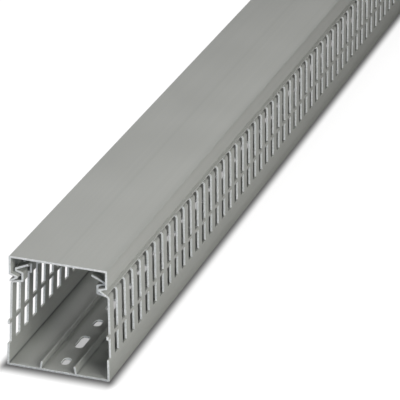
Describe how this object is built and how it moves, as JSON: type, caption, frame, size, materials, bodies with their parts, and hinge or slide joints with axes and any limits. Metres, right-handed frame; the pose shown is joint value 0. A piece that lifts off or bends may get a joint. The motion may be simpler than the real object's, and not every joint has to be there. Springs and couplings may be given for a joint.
{
  "type": "slotted wiring duct",
  "caption": "Rectangular plastic wiring trough with open-topped side slots, floor fixing holes and a clip-on cover that slides along its length.",
  "frame": {"origin": "middle of the underside: half way along the duct, half way across it, at the surface it is fixed to", "axes": "+Y along the duct, from the sawn end that the picture shows towards the far end; +Z from the underside to the cover; +X across the duct"},
  "size_m": [0.06, 1, 0.0663],
  "materials": {
    "base_pvc": "matt grey extruded rigid PVC, pale where sawn or punched",
    "cover_pvc": "matt grey extruded rigid PVC, pale where sawn"
  },
  "bodies": {
    "trough": {"duct_base": "base_pvc"},
    "cover": {"cover": "cover_pvc"}
  },
  "joints": [
    {"name": "cover_slide", "type": "slide", "parent": "trough", "child": "cover", "axis": [0, 1, 0], "range_m": [0, 1]}
  ]
}
